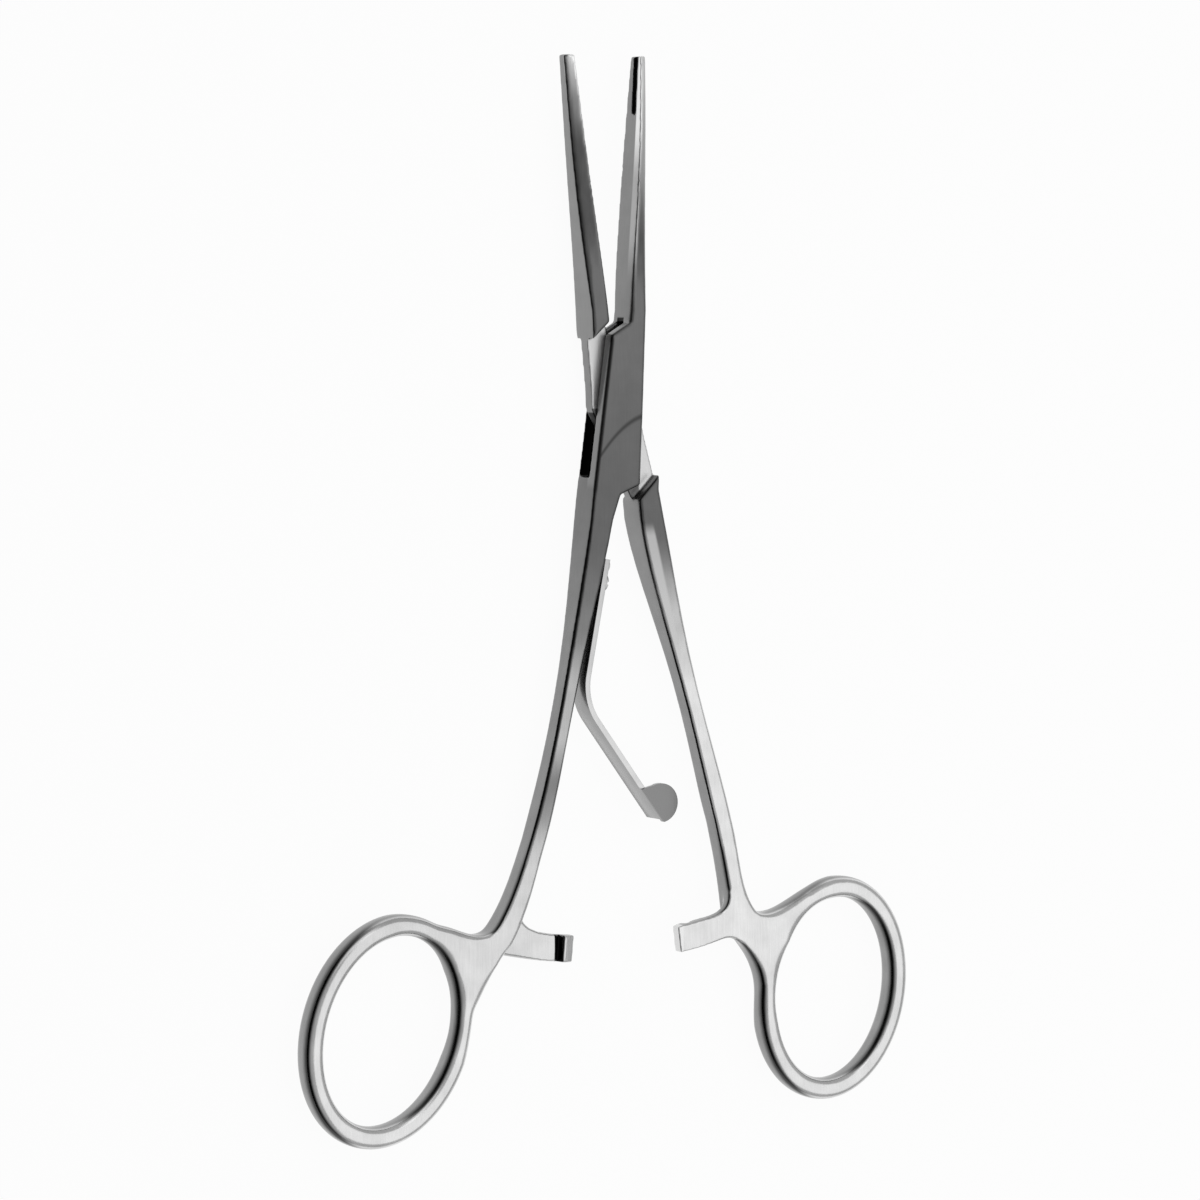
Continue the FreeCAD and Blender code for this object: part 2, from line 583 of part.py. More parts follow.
# Female arm: left shank, box with its slot, right jaw. One forging.
female = new_body("female_arm")
female_box = plate(female, "Pad", "box", [
    ("female_back_root", "root_high"),
    ("female_right", "0"),
    ("female_toe_x", "-female_toe_y"),
    ("female_crotch_x", "-female_crotch_y"),
    ("left_root_x+left_root_wide/2", "-root_low"),
    ("left_root_x-left_root_wide/2", "-root_low"),
    ("female_heel_x", "-female_heel_y"),
    ("female_brow_x", "female_brow_y"),
    ("female_notch_x", "female_notch_y"),
    ("female_face_root", "root_high"),
], "box_thick", MID)
bevel_rims(female, "box_bevels", female_box, "box_bevel", [value("root_high"), -value("root_low")])
jaw(female, "right_jaw",
    ["female_face_root", "female_face_low", "female_face_mid", "female_face_high", "female_face_tip"],
    ["female_back_root", "female_back_low", "female_back_mid", "female_back_high", "female_back_tip"], False)
shank(female, "left")
ring(female, "left_ring", "left_ring_x", "left_ring_y", "left_ring_lean")
bar_back = "-bar_apart/2-bar_thick"
ratchet_bar(female, "left_bar", "270-left_bar_tip-left_bar_span", "left_bar_span", bar_back, "-bar_apart/2")
tooth(female, "left_tooth", "270-left_bar_tip", "-1",
      "-bar_apart/2-bar_thick/2", "-bar_apart/2", "-bar_apart/2+tooth_high")
bar_corner(female, "left_bar_corner", "bar_inner", "270-left_corner", "left_corner_run", "-left_corner_rise",
           "left_corner_lean", "bar_wide/3", "bar_thick", MID + "-bar_apart/2-bar_thick/2")
notch(female, "left_notch", "270-left_bar_tip", "-1", "-bar_apart/2+0.01", "-bar_apart/2-notch_deep")
seat_corners = [
    ("-leaf_thick/2-seat_deep", "seat_above-seat_long"),
    ("-leaf_thick/2", "seat_above-seat_long"),
    ("-leaf_thick/2", "seat_above"),
    ("-leaf_thick/2-seat_deep", "seat_above"),
]
seat_sketch = outline(female, "spring_seat_outline", seat_corners,
                      place("leaf_top_x", "leaf_top_y", MID, "-leaf_lean"))
feature(female, "Pad", "spring_seat", seat_sketch, Length="seat_wide", Midplane=True)
plate(female, "Pocket", "slot", [
    ("-" + CUT_OUT, "-slot_end"),
    ("-slot_heel_x", "-slot_end"),
    ("slot_toe_x", "-slot_end-slot_toe_drop"),
    (CUT_OUT, "-slot_end-slot_toe_drop"),
    (CUT_OUT, "slot_end"),
    ("slot_brow_x", "slot_end"),
    ("slot_notch_x", "slot_end+slot_notch_rise"),
    ("-" + CUT_OUT, "slot_end+slot_notch_rise"),
], "slot_gap", SLOT_MID)
lead = "atan((female_brow_x-female_heel_x)/(female_brow_y+female_heel_y))/1deg"
lead_level = "box_thick-front_plate-slot_gap-box_thick/2"
lead_x = "(female_heel_x+(female_heel_y-slot_end/2)*tan(%s))" % lead
lead_sketch = outline(female, "slot_lead_outline", [
    ("-1", lead_level + "+0.5"),
    ("lead_wide", lead_level + "+0.5"),
    ("lead_wide", lead_level),
    ("0", lead_level + "-lead_deep"),
    ("-1", lead_level + "-lead_deep"),
], place(lead_x, "-slot_end/2", MID, "-(%s)" % lead, "90"))
feature(female, "Pocket", "slot_lead", lead_sketch, Length="slot_end", Midplane=True)
crease = [("female_right+crease_over", "-crease_drop")]
for bend in ("near", "far", "end"):
    crease.append(("female_right+crease_over-crease_%s_x" % bend, "-crease_drop-crease_%s_y" % bend))
crease += [(across, along + "-crease_wide") for across, along in reversed(crease)]
plate(female, "Pocket", "crease", crease, "2*crease_deep", "box_thick")
plate(female, "Pocket", "clip_groove", [
    ("female_face_high-right_groove_ease+groove_deep", "groove_start"),
    ("female_face_tip+groove_deep", "jaw_tip+0.1"),
    ("female_face_tip-2", "jaw_tip+0.1"),
    ("female_face_high-2", "groove_start"),
], "groove_wide", MID)
rivet_bore = disc(female, "rivet_bore_outline", "pin_wide+2*pin_press", place("0", "0", MID))
feature(female, "Pocket", "rivet_bore", rivet_bore, Length="2*box_thick", Midplane=True)
bored(female, "screw_bore", "screw_wide", "-screw_deep-0.2", "0.5", "screw_along")
bored(female, "locator_bore", "locator_wide", "-locator_deep-0.2", "0.5", "locator_along")

# Male arm: right shank, tongue through the slot, left jaw. One forging.
male = new_body("male_arm")
left_jaw_root = plate(male, "Pad", "shoulders", [
    ("male_back_root", "root_high"),
    ("tongue_high_x", "tongue_high_y"),
    ("shoulder_x", "shoulder_y"),
    ("male_face_root", "root_high"),
], "box_thick", MID)
plate(male, "Pad", "tongue", [
    ("tongue_high_x", "tongue_high_y"),
    ("tongue_left-tongue_bow_out", "tongue_high_y*tongue_bow_share"),
    ("tongue_left", "-tongue_waist"),
    ("hip_in_x-tongue_foot_in", "-hip_in_y+tongue_foot_up"),
    ("hip_in_x+tongue_foot_wide", "-hip_in_y+tongue_foot_up"),
    ("hip_out_x-hip_curve_in", "-hip_out_y-hip_curve_drop"),
    ("hip_out_x-hip_side_in", "-hip_out_y+hip_side_rise"),
    ("(tongue_right+hip_out_x)/2-tongue_flank_in", "-hip_out_y/2"),
    ("tongue_right", "-tongue_flank_top"),
    ("shoulder_x-tongue_head_in", "shoulder_y+tongue_head_rise"),
    ("shoulder_x-tongue_head_wide", "shoulder_y-tongue_head_drop"),
], "slot_gap-2*slot_play", SLOT_MID)
hips = plate(male, "Pad", "hips", [
    ("hip_in_x", "-hip_in_y"),
    ("hip_out_x", "-hip_out_y"),
    ("hip_out_x-hip_side_in", "-hip_out_y-hip_side_drop"),
    ("right_root_x+right_root_wide/2", "-root_low"),
    ("right_root_x-right_root_wide/2", "-root_low"),
], "box_thick", MID)
bevel_rims(male, "shoulder_bevels", hips, "box_bevel", [value("root_high"), -value("root_low")])
jaw(male, "left_jaw",
    ["male_back_root", "male_back_low", "male_back_mid", "male_back_high", "male_back_tip"],
    ["male_face_root", "male_face_low", "male_face_mid", "male_face_high", "male_face_tip"], True)
shank(male, "right")
ring(male, "right_ring", "right_ring_x", "right_ring_y", "right_ring_lean")
bar_front = "web_thick/2"
ratchet_bar(male, "right_bar", "270+right_bar_tip", "right_bar_span", "bar_apart/2", bar_front)
tooth(male, "right_tooth", "270+right_bar_tip", "1",
      "bar_apart/2+bar_thick/2", "bar_apart/2", "bar_apart/2-tooth_high")
front_thick = "web_thick/2-bar_apart/2"
front_middle = MID + "+web_thick/4+bar_apart/4"
bar_corner(male, "right_bar_corner", "bar_inner", "270+right_corner", "-right_corner_run",
           "-right_corner_rise", "right_corner_lean", "bar_wide/3", front_thick, front_middle)
bar_corner(male, "under_bar_corner", "bar_outer", "270+under_corner", "-under_corner_run",
           "under_corner_drop", "under_corner_lean", "-bar_wide/3", front_thick, front_middle)
notch(male, "right_notch", "270+right_bar_tip", "1", "bar_apart/2-0.01", "bar_apart/2+notch_deep")
plate(male, "Pocket", "clip_groove", [
    ("male_face_high+left_groove_ease-groove_deep", "groove_start"),
    ("male_face_tip-groove_deep", "jaw_tip+0.1"),
    ("male_face_tip+2", "jaw_tip+0.1"),
    ("male_face_high+2", "groove_start"),
], "groove_wide", MID)
pivot_bore = disc(male, "pivot_bore_outline", "pin_wide+2*pin_play", place("0", "0", MID))
feature(male, "Pocket", "pivot_bore", pivot_bore, Length="2*box_thick", Midplane=True)

# Rivet, ground flush with both plates
rivet = new_body("pivot_pin")
rivet_disc = disc(rivet, "rivet_outline", "pin_wide", place("0", "0", MID))
feature(rivet, "Pad", "rivet", rivet_disc, Length="box_thick", Midplane=True)

# Return spring: strip, bend, free stretch and a folded ear
leaf = new_body("leaf_spring")
leaf_path = leaf.newObject("Sketcher::SketchObject", "strip_path")
lean = math.radians(value("leaf_lean"))
kick = math.radians(value("leaf_kick"))
reach = value("leaf_bend") * math.tan((lean + kick) / 2)
down = FreeCAD.Vector(-math.sin(lean), -math.cos(lean), 0)
away = FreeCAD.Vector(math.sin(kick), -math.cos(kick), 0)
corner = down * value("leaf_knee")
bend_start = corner - down * reach
bend_end = corner + away * reach
chord_middle = (bend_start + bend_end) / 2
inward = (chord_middle - corner).normalize()
bend_centre = corner + inward * (value("leaf_bend") / math.cos((lean + kick) / 2))
bend_middle = bend_centre - inward * value("leaf_bend")
seated_run = leaf_path.addGeometry(Part.LineSegment(FreeCAD.Vector(0, 0, 0), bend_start), False)
bend_arc = leaf_path.addGeometry(Part.Arc(bend_start, bend_middle, bend_end), False)
free_run = leaf_path.addGeometry(Part.LineSegment(bend_end, corner + away * value("leaf_free")), False)
leaf_path.addConstraint(Sketcher.Constraint("Coincident", seated_run, 1, -1, 1))
starts_low = leaf_path.Geometry[bend_arc].StartPoint.isEqual(bend_start, value("leaf_thick") / 100)
first, last = (1, 2) if starts_low else (2, 1)
leaf_path.addConstraint(Sketcher.Constraint("Tangent", seated_run, 2, bend_arc, first))
leaf_path.addConstraint(Sketcher.Constraint("Tangent", bend_arc, last, free_run, 1))
run = "leaf_bend*tan((leaf_lean+leaf_kick)/2)"
held(leaf_path, "Radius", bend_arc, "leaf_bend")
held(leaf_path, "Distance", seated_run, "leaf_knee-" + run)
held(leaf_path, "Distance", free_run, "leaf_free-" + run)
held(leaf_path, "Angle", seated_run, "-90-leaf_lean")
held(leaf_path, "Angle", free_run, "-90+leaf_kick")
leaf_path.setExpression("Placement", place("leaf_top_x", "leaf_top_y", MID))
strip_corners = [("-leaf_thick/2", "-leaf_wide/2"), ("leaf_thick/2", "-leaf_wide/2"),
                 ("leaf_thick/2", "leaf_wide/2"), ("-leaf_thick/2", "leaf_wide/2")]
strip = outline(leaf, "strip_section", strip_corners,
                place("leaf_top_x", "leaf_top_y", MID, "-leaf_lean", "90"))
feature(leaf, "AdditivePipe", "strip", strip, Spine=(leaf_path, ["Edge1", "Edge2", "Edge3"]))
tip_x = "(leaf_top_x-sin(leaf_lean)*leaf_knee+sin(leaf_kick)*leaf_free)"
tip_y = "(leaf_top_y-cos(leaf_lean)*leaf_knee-cos(leaf_kick)*leaf_free)"
ear_level = "box_thick/2+leaf_wide/2-ear_sunk+ear_thick/2"
at_tip = place(tip_x, tip_y, ear_level, "leaf_kick")
ear_disc = leaf.newObject("Sketcher::SketchObject", "ear_outline")
ear_disc.addGeometry(Part.Circle(FreeCAD.Vector(value("ear_out"), value("ear_back"), 0),
                                 FreeCAD.Vector(0, 0, 1), value("ear_wide") / 2), False)
for kind, formula in (("DistanceX", "ear_out"), ("DistanceY", "ear_back")):
    made = ear_disc.addConstraint(Sketcher.Constraint(kind, -1, 1, 0, 3, value(formula)))
    ear_disc.setExpression("Constraints[%d]" % made, bind(formula))
held(ear_disc, "Diameter", 0, "ear_wide")
ear_disc.setExpression("Placement", at_tip)
feature(leaf, "Pad", "ear", ear_disc, Length="ear_thick", Midplane=True)
ear_fold = outline(leaf, "ear_fold_outline", [
    ("-leaf_thick/2", "ear_back+fold_long"),
    ("ear_out+ear_wide*0.28", "ear_back+ear_wide*0.41"),
    ("ear_out", "ear_back"),
    ("-leaf_thick/2", "ear_back"),
], at_tip)
feature(leaf, "Pad", "ear_fold", ear_fold, Length="ear_thick", Midplane=True)
ear_cut = outline(leaf, "ear_cut_outline", [
    ("-leaf_thick/2", "-ear_wide"),
    ("-leaf_thick/2", "ear_wide"),
    ("-leaf_thick/2-ear_wide", "ear_wide"),
    ("-leaf_thick/2-ear_wide", "-ear_wide"),
], at_tip)
feature(leaf, "Pocket", "ear_cut", ear_cut, Length="2*ear_thick", Midplane=True)
bored(leaf, "screw_bore", "screw_wide", "-0.5", "leaf_thick+0.5", "screw_along")
bored(leaf, "locator_bore", "locator_wide", "-0.5", "leaf_thick+0.5", "locator_along")

# Slotted screw that holds the spring
screw = new_body("spring_screw")
turned(screw, "Revolution", "screw_form", [
    ("-screw_deep", "0"),
    ("leaf_thick+screw_head_high", "0"),
    ("leaf_thick+screw_head_high", "screw_head_wide/2-screw_head_bevel"),
    ("leaf_thick+screw_head_high-screw_head_bevel", "screw_head_wide/2"),
    ("leaf_thick", "screw_head_wide/2"),
    ("leaf_thick", "screw_wide/2"),
    ("-screw_deep+screw_point_bevel", "screw_wide/2"),
    ("-screw_deep", "screw_wide/2-screw_point_bevel"),
], "screw_along")
slot_floor = "leaf_thick+screw_head_high*0.55"
slot_across = "leaf_top_x-sin(leaf_lean)*screw_along-cos(leaf_lean)*leaf_thick/2"
slot_along = "leaf_top_y-cos(leaf_lean)*screw_along+sin(leaf_lean)*leaf_thick/2"
screw_slot = outline(screw, "screw_slot_outline", [
    (slot_floor, "-screw_slot/2"),
    ("leaf_thick+screw_head_high+0.5", "-screw_slot/2"),
    ("leaf_thick+screw_head_high+0.5", "screw_slot/2"),
    (slot_floor, "screw_slot/2"),
], place(slot_across, slot_along, MID, "-leaf_lean"))
feature(screw, "Pocket", "driver_slot", screw_slot, Length="2*screw_head_wide", Midplane=True)

# Low-headed pin that keeps the spring from turning
locator = new_body("spring_pin")
turned(locator, "Revolution", "locator_form", [
    ("-locator_deep", "0"),
    ("leaf_thick+locator_head_high", "0"),
    ("leaf_thick+locator_head_high", "locator_head_wide/2-locator_head_bevel"),
    ("leaf_thick+locator_head_high-locator_head_bevel", "locator_head_wide/2"),
    ("leaf_thick", "locator_head_wide/2"),
    ("leaf_thick", "locator_wide/2"),
    ("-locator_deep", "locator_wide/2"),
], "locator_along")

doc.recompute()
bodies = [female, male, rivet, leaf, screw, locator]
for item in doc.Objects:
    if "Invalid" in item.State or "Error" in item.State:
        raise RuntimeError("%s failed: %s" % (item.Label, item.State))
os.makedirs("parts", exist_ok=True)
for body in bodies:
    shape = body.Shape
    if shape.isNull() or not shape.isValid() or len(shape.Solids) != 1:
        raise RuntimeError("%s has no valid solid" % body.Label)
    shape.exportStep("parts/%s.step" % body.Label)
    box = shape.BoundBox
    print("%-13s %8.1f mm3  x %.2f to %.2f  y %.2f to %.2f  z %.2f to %.2f" % (
        body.Label, shape.Volume, box.XMin, box.XMax, box.YMin, box.YMax, box.ZMin, box.ZMax))
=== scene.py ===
"""Looks of a clip applier: a forged steel instrument with ring handles, a box lock and a leaf spring."""

import logging
import math
from collections.abc import Callable
from dataclasses import dataclass
from enum import Enum

import bpy
from mathutils import Matrix, Vector


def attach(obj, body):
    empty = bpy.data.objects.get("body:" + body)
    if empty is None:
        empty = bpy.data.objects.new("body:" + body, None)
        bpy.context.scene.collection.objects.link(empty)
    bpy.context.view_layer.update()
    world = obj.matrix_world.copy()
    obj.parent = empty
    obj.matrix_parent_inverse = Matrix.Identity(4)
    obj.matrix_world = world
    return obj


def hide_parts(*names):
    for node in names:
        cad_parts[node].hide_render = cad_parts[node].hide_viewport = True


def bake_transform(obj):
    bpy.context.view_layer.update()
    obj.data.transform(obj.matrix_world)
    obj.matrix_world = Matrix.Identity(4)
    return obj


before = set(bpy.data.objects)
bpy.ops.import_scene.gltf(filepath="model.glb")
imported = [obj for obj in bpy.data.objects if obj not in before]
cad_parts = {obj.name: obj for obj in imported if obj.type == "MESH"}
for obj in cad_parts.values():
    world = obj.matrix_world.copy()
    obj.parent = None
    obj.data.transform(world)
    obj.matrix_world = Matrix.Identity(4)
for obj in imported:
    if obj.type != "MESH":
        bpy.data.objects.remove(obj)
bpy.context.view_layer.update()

log = logging.getLogger("scene")

MM = 0.001


class Body(Enum):
    """The two rigid halves of the instrument.

    FEMALE carries the box, the spring and the left ring. MALE carries the tongue and the right ring.
    """

    FEMALE = "female_half"
    MALE = "male_half"


class Slot(Enum):
    """The material slots of the part."""

    FORGED = "forged_steel"
    SPRING = "spring_steel"
    SCREW = "screw_steel"


@dataclass(frozen=True)
class Mark:
    """A place on the steel painted another grey: painted shade in a slot, groove or notch, a painted
    highlight or reflection on a flat, wall or edge, or the darker ear of the spring.

    Args:
        across: Range along X in millimetres, soft at both ends.
        along: Range along Y in millimetres, soft at both ends.
        depth: Range along Z in millimetres, soft at both ends.
        tone: Painted grey of the place, linear.
        share: Share of that grey.
        soft: Width of the soft ends along X and Z in millimetres.
        fade: Width of the soft ends along Y in millimetres.
        lean: How far the range along X moves with each millimetre along Y.
        flat: Whether only the faces that look up or down take it.
    """

    across: tuple[float, float]
    along: tuple[float, float]
    depth: tuple[float, float]
    tone: float
    share: float = 1.0
    soft: float = 0.3
    fade: float = 0.3
    lean: float = 0.0
    flat: bool = False


@dataclass(frozen=True)
class Finish:
    """How one kind of steel is finished, with the light and shade painted on it.

    Args:
        name: Name of the material.
        tones: Grey of the front and back faces at places along Y in millimetres: the steel's grey with
            painted reflection along the arm.
        walls: Grey of the walls at places along Y in millimetres: painted shade of the walls.
        matte: Roughness of the matte end.
        polished: Roughness of the polished end.
        matte_y: Place along Y where the finish is wholly matte, in millimetres.
        polished_y: Place along Y where the finish is wholly polished, in millimetres.
        grain_turn: Turn of the brushing about Z, in degrees.
        grain_depth: Height of the brushing lines, in metres.
        blotches: Share by which large blotches change the grey.
        bevel: Grey of the painted dark reflection on the bevels that face left, where they mirror the dark
            room.
        bevel_share: Share of that grey.
        bevel_up: Range of the normal's Z over which a bevel passes into a front face.
        bevel_end: Place along Y above which the bevels get no painted dark reflection, in millimetres.
        crease: Whether the crease's painted shade runs over the box.
        marks: Places painted another grey.
    """

    name: str
    tones: tuple[tuple[float, float], ...]
    walls: tuple[tuple[float, float], ...]
    matte: float = 0.34
    polished: float = 0.2
    matte_y: float = -10.0
    polished_y: float = -60.0
    grain_turn: float = 0.0
    grain_depth: float = 0.012 * MM
    blotches: float = 0.35
    bevel: float = 0.02
    bevel_share: float = 0.92
    bevel_up: tuple[float, float] = (0.78, 0.95)
    bevel_end: float = 60.0
    crease: bool = False
    marks: tuple[Mark, ...] = ()


# Greys of painted deep shade and of painted lamp reflections on flats
SHADE_GREY = 0.004
GLINT_GREY = 0.62

# How far an edge moves across with each millimetre along: right jaw, front plate and right shank
JAW_LEAN = 0.083
PLATE_LEAN = 0.147
SHANK_LEAN = -0.27

# One forged steel for both arms: the two finishes differ by the painted reflection, shade and highlights
# along each arm
FEMALE = Finish(
    name="forged_steel_left",
    tones=((53.5, 0.45), (40.0, 0.3), (26.0, 0.16), (-20.0, 0.125), (-33.0, 0.18), (-44.0, 0.42),
           (-50.0, 0.44), (-58.0, 0.2), (-72.0, 0.58), (-82.0, 0.62), (-94.0, 0.66)),
    walls=((53.5, 0.26), (14.0, 0.24), (6.0, 0.17), (-14.0, 0.19), (-40.0, 0.25), (-80.0, 0.27),
           (-94.0, 0.3)),
    bevel_end=14.0,
    crease=True,
    marks=(
        # Painted shade inside the slot, below and above the tongue
        Mark(across=(-9.0, 2.6), along=(-10.9, -0.3), depth=(0.2, 3.42), tone=SHADE_GREY),
        Mark(across=(-1.2, 1.7), along=(11.2, 13.6), depth=(1.42, 3.42), tone=SHADE_GREY),
        # Highlight along the right jaw, brighter toward the tip
        Mark(across=(-0.9, 1.0), along=(18.0, 60.0), depth=(3.6, 6.5), tone=0.42,
             soft=0.6, fade=9.0, lean=JAW_LEAN),
        Mark(across=(-0.9, 0.9), along=(34.0, 60.0), depth=(3.6, 6.5), tone=0.85,
             soft=0.6, fade=9.0, lean=JAW_LEAN),
        # Painted shade inside the clip groove
        Mark(across=(3.9, 5.2), along=(44.4, 54.5), depth=(2.15, 3.45), tone=SHADE_GREY, soft=0.1),
        # Painted lighter reflection on the wall of the front plate and painted dark reflection on its upper
        # edge, beside the tongue
        Mark(across=(-4.4, -3.3), along=(-13.0, 11.0), depth=(3.2, 5.1), tone=0.24,
             soft=0.2, fade=1.5, lean=PLATE_LEAN),
        Mark(across=(-4.1, -3.1), along=(-14.0, 11.0), depth=(5.0, 6.5), tone=0.035, share=0.85,
             soft=0.4, fade=1.5, lean=PLATE_LEAN),
        # Painted shade in the notch behind the ratchet tooth
        Mark(across=(-11.95, -10.55), along=(-88.0, -80.0), depth=(1.7, 2.75), tone=SHADE_GREY, soft=0.12),
    ),
)
MALE = Finish(
    name="forged_steel_right",
    tones=((53.5, 1.0), (46.0, 0.6), (39.0, 0.26), (30.0, 0.17), (18.0, 0.15), (-20.0, 0.13),
           (-34.0, 0.5), (-46.0, 0.66), (-80.0, 0.68), (-94.0, 0.66)),
    walls=((53.5, 0.29), (14.0, 0.27), (0.0, 0.25), (-40.0, 0.26), (-80.0, 0.27), (-94.0, 0.3)),
    bevel_up=(0.6, 0.74),
    marks=(
        # Painted shade on the tongue where it lies deep in the slot
        Mark(across=(-6.2, 2.6), along=(-10.9, -0.9), depth=(0.2, 3.42), tone=SHADE_GREY),
        # Painted lamp reflection on the flats of the tongue, above and below the box
        Mark(across=(-6.4, -1.9), along=(-0.6, 12.9), depth=(3.1, 4.3), tone=GLINT_GREY, flat=True),
        Mark(across=(3.6, 6.8), along=(-14.4, -2.4), depth=(3.1, 4.3), tone=GLINT_GREY, flat=True),
        # Painted highlight on the end of the ratchet bar
        Mark(across=(8.4, 10.4), along=(-88.0, -80.0), depth=(0.0, 6.0), tone=0.75, share=0.9),
        # Highlight along the top of the shank
        Mark(across=(-2.2, 0.2), along=(-38.0, -18.0), depth=(4.3, 6.0), tone=0.52, share=0.8,
             soft=0.5, fade=2.5, lean=SHANK_LEAN, flat=True),
    ),
)
SPRING = Finish(
    name="spring_steel",
    tones=((-20.0, 0.52), (-58.0, 0.62)),
    walls=((-20.0, 0.3), (-65.0, 0.34)),
    matte=0.28,
    polished=0.24,
    matte_y=-20.0,
    polished_y=-60.0,
    grain_turn=10.0,
    marks=(
        # Ear
        Mark(across=(1.0, 12.0), along=(-66.0, -50.0), depth=(5.0, 6.5), tone=0.23),
    ),
)
SCREW = Finish(
    name="screw_steel",
    tones=((-20.0, 0.5), (-30.0, 0.5)),
    walls=((-20.0, 0.3), (-30.0, 0.3)),
    matte=0.3,
    polished=0.25,
)


class Wire:
    """A number or vector that runs through a node tree.

    Args:
        tree: The node tree.
        socket: The output socket that gives the value.
    """

    def __init__(self, tree: bpy.types.NodeTree, socket: bpy.types.NodeSocket) -> None:
        self.tree = tree
        self.socket = socket

    @staticmethod
    def maths(tree: bpy.types.NodeTree, operation: str, *operands: "Wire | float") -> "Wire":
        """Adds a maths node.

        Args:
            tree: The node tree.
            operation: The node's operation.
            operands: Its operands in order.

        Returns:
            The node's output.
        """
        node = tree.nodes.new("ShaderNodeMath")
        node.operation = operation
        for socket, operand in zip(node.inputs, operands):
            if isinstance(operand, Wire):
                tree.links.new(operand.socket, socket)
            else:
                socket.default_value = operand
        return Wire(tree, node.outputs[0])

    def __add__(self, other: "Wire | float") -> "Wire":
        """The sum with another value."""
        return self.maths(self.tree, "ADD", self, other)

    def __mul__(self, other: "Wire | float") -> "Wire":
        """The product with another value."""
        return self.maths(self.tree, "MULTIPLY", self, other)

    def __sub__(self, other: "Wire | float") -> "Wire":
        """The value less another."""
        return self.maths(self.tree, "SUBTRACT", self, other)

    def __rsub__(self, other: float) -> "Wire":
        """A number less the value."""
        return self.maths(self.tree, "SUBTRACT", other, self)

    __radd__ = __add__
    __rmul__ = __mul__

    def size(self) -> "Wire":
        """The value without its sign."""
        return self.maths(self.tree, "ABSOLUTE", self)

    def at_most(self, limit: float) -> "Wire":
        """The value, or the limit where it lies above it."""
        return self.maths(self.tree, "MINIMUM", self, limit)

    def toward(self, other: "Wire | float", share: "Wire | float") -> "Wire":
        """Moves the value toward another.

        Args:
            other: The other value.
            share: Share of the way.

        Returns:
            The mixed value.
        """
        return self + (other - self) * share

    def eased(self, start: float, end: float) -> "Wire":
        """Maps the value from a range to 0..1 with soft ends.

        Args:
            start: Value that gives 0.
            end: Value that gives 1.

        Returns:
            The mapped value.
        """
        node = self.tree.nodes.new("ShaderNodeMapRange")
        node.interpolation_type = "SMOOTHSTEP"
        node.inputs["From Min"].default_value = start
        node.inputs["From Max"].default_value = end
        self.tree.links.new(self.socket, node.inputs["Value"])
        return Wire(self.tree, node.outputs["Result"])

    def mixed(self, low: tuple[float, float, float], high: tuple[float, float, float]) -> "Wire":
        """Mixes two colours by the value.

        Args:
            low: Colour at 0.
            high: Colour at 1.

        Returns:
            The mixed colour.
        """
        node = self.tree.nodes.new("ShaderNodeMix")
        node.data_type = "RGBA"
        factor, first, second = [socket for socket in node.inputs if socket.enabled]
        first.default_value = (*low, 1.0)
        second.default_value = (*high, 1.0)
        self.tree.links.new(self.socket, factor)
        return Wire(self.tree, next(socket for socket in node.outputs if socket.enabled))


class Shader:
    """A material with one Principled shader and helpers that add nodes to it.

    Args:
        name: Name of the material.
    """

    def __init__(self, name: str) -> None:
        self.material = bpy.data.materials.new(name)
        self.material.use_nodes = True
        self.tree = self.material.node_tree
        self.shader = self.tree.nodes["Principled BSDF"]

    def add(self, kind: str, output: str, **inputs: object) -> Wire:
        """Adds a node and sets or links its inputs.

        Args:
            kind: Type of the node.
            output: Name of the output to return.
            inputs: Values or wires by input name, with underscores for spaces.

        Returns:
            The named output.
        """
        node = self.tree.nodes.new(kind)
        for key, value in inputs.items():
            socket = node.inputs[key.replace("_", " ")]
            if isinstance(value, Wire):
                self.tree.links.new(value.socket, socket)
            else:
                socket.default_value = value
        return Wire(self.tree, node.outputs[output])

    def places(self, turn: float = 0.0, scale: tuple[float, float, float] = (1.0, 1.0, 1.0)) -> Wire:
        """Object coordinates, turned about Z and scaled.

        Args:
            turn: Turn about Z in degrees.
            scale: Scale along each axis.

        Returns:
            The coordinates.
        """
        coords = self.add("ShaderNodeTexCoord", "Object")
        return self.add("ShaderNodeMapping", "Vector", Vector=coords,
                        Rotation=(0.0, 0.0, math.radians(turn)), Scale=scale)

    def noise(self, places: Wire, scale: float, detail: float) -> Wire:
        """Noise on the given coordinates.

        Args:
            places: The coordinates.
            scale: Number of cells per metre.
            detail: Number of finer layers.

        Returns:
            The noise from 0 to 1.
        """
        return self.add("ShaderNodeTexNoise", "Fac", Vector=places, Scale=scale, Detail=detail)

    def wire(self, wire: Wire, socket: str) -> None:
        """Links a wire to the shader.

        Args:
            wire: The value.
            socket: The shader's input.
        """
        self.tree.links.new(wire.socket, self.shader.inputs[socket])


